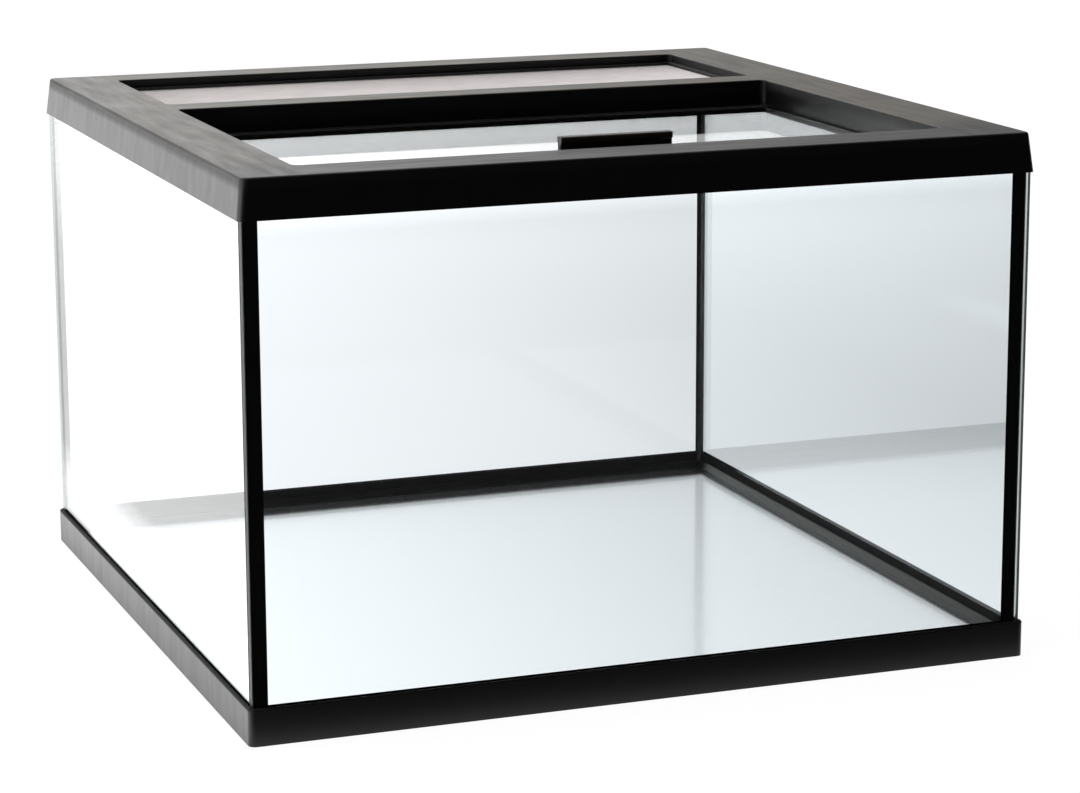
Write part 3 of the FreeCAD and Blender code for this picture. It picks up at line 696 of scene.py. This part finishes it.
def light_on_left(tree, studio, back, across):
    """How many times brighter the paper is on the left: in a strip beside the tank, and far away by
    the window."""
    beside = product(tree, spread(tree, across, -0.26, -0.22, studio.beside, 0),
                     spread(tree, back, 0.3, 0.8, 1, 0),
                     spread(tree, back, 0, 0.25, 0.6, 1),
                     spread(tree, across, -0.29, -0.26, 0.2, 1))
    window = product(tree, spread(tree, across, -1.9, -1.4, studio.window, 0),
                     spread(tree, sums(tree, "ABSOLUTE", back), 0.5, 0.9, 1, 0))
    return sums(tree, "ADD", sums(tree, "ADD", beside, window), 1)


def paper_floor(studio):
    """Pale paper, brighter far behind the tank. In gloss it is dark in front of the tank and bright to
    its left. A small matt share keeps the contact shadow."""
    material = bpy.data.materials.new("paper")
    tree = nodes_of(material)
    output = add_node(tree, "ShaderNodeOutputMaterial")
    camera, through = ray_kinds(tree)
    back = part_of(tree, place(tree), "Y")
    across = part_of(tree, place(tree), "X")
    glow = paper_behind(tree, studio, back, across)
    far = with_horizon(tree, glow, back, 0.95)
    mirrored = with_horizon(tree, glow, back, 0.55)
    gloss = product(tree, mirrored, lit_share(tree, studio, back, across),
                    light_on_left(tree, studio, back, across))
    strength = spread_between(tree, through, gloss, far)
    strength = spread_between(tree, camera, strength, studio.white)
    light = add_node(tree, "ShaderNodeEmission")
    plug(tree, strength, light, "Strength")
    matt = add_node(tree, "ShaderNodeBsdfDiffuse")
    matt.inputs["Color"].default_value = (PAPER_MATT, PAPER_MATT, PAPER_MATT, 1)
    both = add_node(tree, "ShaderNodeAddShader")
    plug(tree, matt.outputs["BSDF"], both, 0)
    plug(tree, light.outputs["Emission"], both, 1)
    plug(tree, both.outputs["Shader"], output, "Surface")
    return material


def studio_world(studio):
    """White for the camera and through glass. Gloss sees it fall off to the right, and the dark room
    in front."""
    world = bpy.data.worlds.new("studio")
    bpy.context.scene.world = world
    world.use_nodes = True
    tree = world.node_tree
    tree.nodes.clear()
    output = add_node(tree, "ShaderNodeOutputWorld")
    sky = add_node(tree, "ShaderNodeBackground")
    camera, through = ray_kinds(tree)
    direction = add_node(tree, "ShaderNodeTexCoord").outputs["Generated"]
    across = part_of(tree, direction, "X")
    side = spread(tree, across, 0.15, 0.49, studio.backdrop, studio.backdrop_right, SMOOTH)
    from_left = product(tree, across, ROOM_SLANT)
    lit = sums(tree, "SUBTRACT", part_of(tree, direction, "Y"), from_left)
    gloss = product(tree, side, spread(tree, lit, -0.15, 0.15, studio.front, 1, SMOOTH))
    strength = spread_between(tree, through, gloss, studio.backdrop)
    strength = spread_between(tree, camera, strength, 1)
    plug(tree, strength, sky, "Strength")
    plug(tree, sky.outputs["Background"], output, "Surface")


def add_camera(studio):
    """The camera of the photograph."""
    data = bpy.data.cameras.new("camera")
    data.sensor_width = SENSOR_WIDTH
    data.sensor_fit = "HORIZONTAL"
    data.lens = studio.lens
    data.clip_start = NEAREST
    data.clip_end = FARTHEST
    camera = bpy.data.objects.new("camera", data)
    bpy.context.scene.collection.objects.link(camera)
    turn = (Matrix.Rotation(-studio.yaw, 4, "Z")
            @ Matrix.Rotation(math.pi / 2 - studio.pitch, 4, "X")
            @ Matrix.Rotation(-studio.roll, 4, "Z"))
    camera.matrix_world = Matrix.Translation(studio.camera_place) @ turn
    bpy.context.scene.camera = camera


def add_lamp(name, place_at, aim_at, size, power):
    """A soft square lamp, hidden from the camera, from gloss and from glass."""
    data = bpy.data.lights.new(name, "AREA")
    data.shape = "SQUARE"
    data.size = size
    data.energy = power
    lamp = bpy.data.objects.new(name, data)
    bpy.context.scene.collection.objects.link(lamp)
    towards = Vector(aim_at) - Vector(place_at)
    turn = towards.to_track_quat("-Z", "Y").to_matrix().to_4x4()
    lamp.matrix_world = Matrix.Translation(place_at) @ turn
    lamp.visible_camera = False
    lamp.visible_glossy = False
    lamp.visible_transmission = False


class TERRARIUM_OT_stage(bpy.types.Operator):
    """Set up the paper, the backdrop, the lamp and the camera"""
    bl_idname = "terrarium.stage"
    bl_label = "Stage"

    def execute(self, context):
        studio = context.scene.terrarium_studio
        deselect()
        bpy.ops.mesh.primitive_plane_add(size=16, location=(0, 0, CAD_BOX[0].z - PAPER_GAP))
        floor = settled("paper")
        floor.data.materials.append(paper_floor(studio))
        studio_world(studio)
        add_lamp("top_lamp", place_at=(-0.5, 0.3, 2.2), aim_at=(0, 0, 0.1), size=1.6, power=14)
        add_camera(studio)
        context.scene.view_settings.view_transform = "Standard"
        return {"FINISHED"}


class TERRARIUM_PT_panel(bpy.types.Panel):
    """The steps that dress the terrarium"""
    bl_idname = "TERRARIUM_PT_panel"
    bl_label = "Terrarium"
    bl_space_type = "VIEW_3D"
    bl_region_type = "UI"
    bl_category = "Terrarium"

    def draw(self, context):
        column = self.layout.column()
        for step in STEPS:
            column.operator(step.bl_idname)
        for group, _ in GROUPS:
            settings = getattr(context.scene, group)
            for name in settings.__annotations__:
                column.prop(settings, name)


STEPS = (TERRARIUM_OT_frames, TERRARIUM_OT_panes, TERRARIUM_OT_seams, TERRARIUM_OT_lid,
         TERRARIUM_OT_vent, TERRARIUM_OT_stage)
GROUPS = (("terrarium_finish", TerrariumFinish), ("terrarium_mesh", TerrariumMesh),
          ("terrarium_studio", TerrariumStudio))


def register():
    """Make the settings, the steps and the panel known."""
    for name, group in GROUPS:
        bpy.utils.register_class(group)
        setattr(bpy.types.Scene, name, bpy.props.PointerProperty(type=group))
    for step in (*STEPS, TERRARIUM_PT_panel):
        bpy.utils.register_class(step)


def unregister():
    """Forget the panel, the steps and the settings."""
    for step in (TERRARIUM_PT_panel, *reversed(STEPS)):
        bpy.utils.unregister_class(step)
    for name, group in reversed(GROUPS):
        delattr(bpy.types.Scene, name)
        bpy.utils.unregister_class(group)


def main():
    """Dress the whole terrarium."""
    register()
    bpy.ops.terrarium.frames()
    bpy.ops.terrarium.panes()
    bpy.ops.terrarium.seams()
    bpy.ops.terrarium.lid()
    bpy.ops.terrarium.vent()
    bpy.ops.terrarium.stage()


if __name__ == "__main__":
    main()
